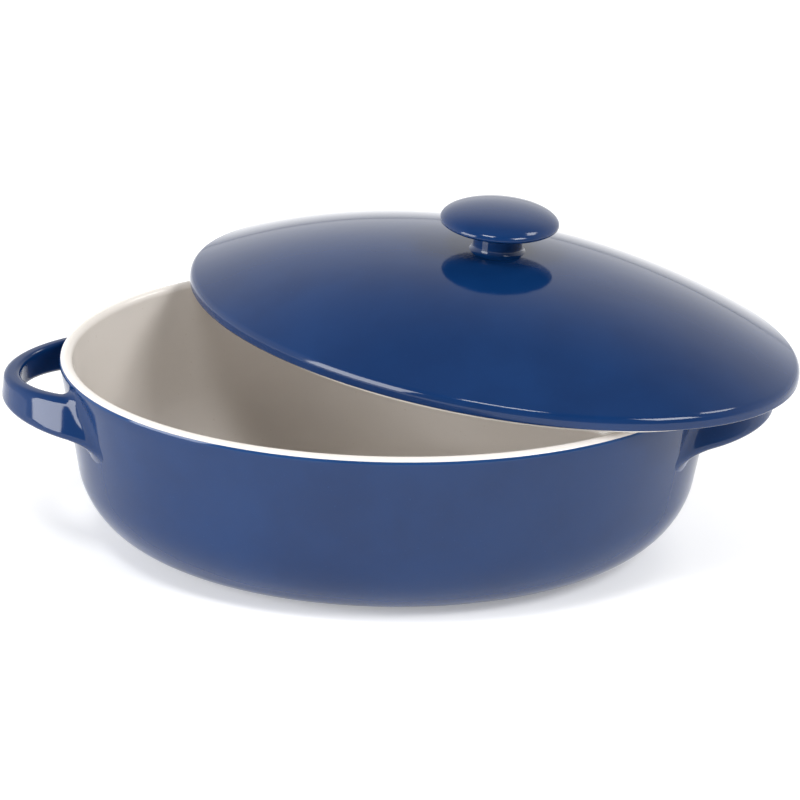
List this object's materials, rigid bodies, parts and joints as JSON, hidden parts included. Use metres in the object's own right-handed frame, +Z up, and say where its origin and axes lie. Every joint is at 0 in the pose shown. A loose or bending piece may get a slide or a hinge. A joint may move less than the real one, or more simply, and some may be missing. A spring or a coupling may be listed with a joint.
{
  "type": "covered casserole dish",
  "caption": "Oval stoneware baking dish with a loop handle at each end and a loose domed lid with a mushroom knob, shown with the lid slid ajar.",
  "frame": {"origin": "on the table under the centre of the dish's oval foot", "axes": "+X along the oval's long axis from the left handle to the right handle, +Y across the dish towards the side that the lid is slid to, +Z up"},
  "size_m": [0.3632, 0.2631, 0.1492],
  "materials": {
    "cobalt_glaze": "glossy cobalt blue stoneware glaze, slightly lighter where it breaks over edges",
    "cream_glaze": "glossy warm white glaze on the inside and over the lip",
    "bare_stoneware": "unglazed fired stoneware, matt and faintly gritty"
  },
  "bodies": {
    "dish": {"dish_body": "cobalt_glaze", "dish_liner_glaze": "cream_glaze", "foot_ring": "bare_stoneware", "handle_left": "cobalt_glaze", "handle_right": "cobalt_glaze"},
    "lid": {"lid_dome": "cobalt_glaze", "lid_liner_glaze": "cream_glaze", "lid_locating_ridge": "cream_glaze", "lid_knob": "cobalt_glaze"}
  },
  "joints": [
    {"name": "lid_lift", "type": "slide", "parent": "dish", "child": "lid", "axis": [0, 0, 1], "range_m": [0, 0.16]}
  ]
}
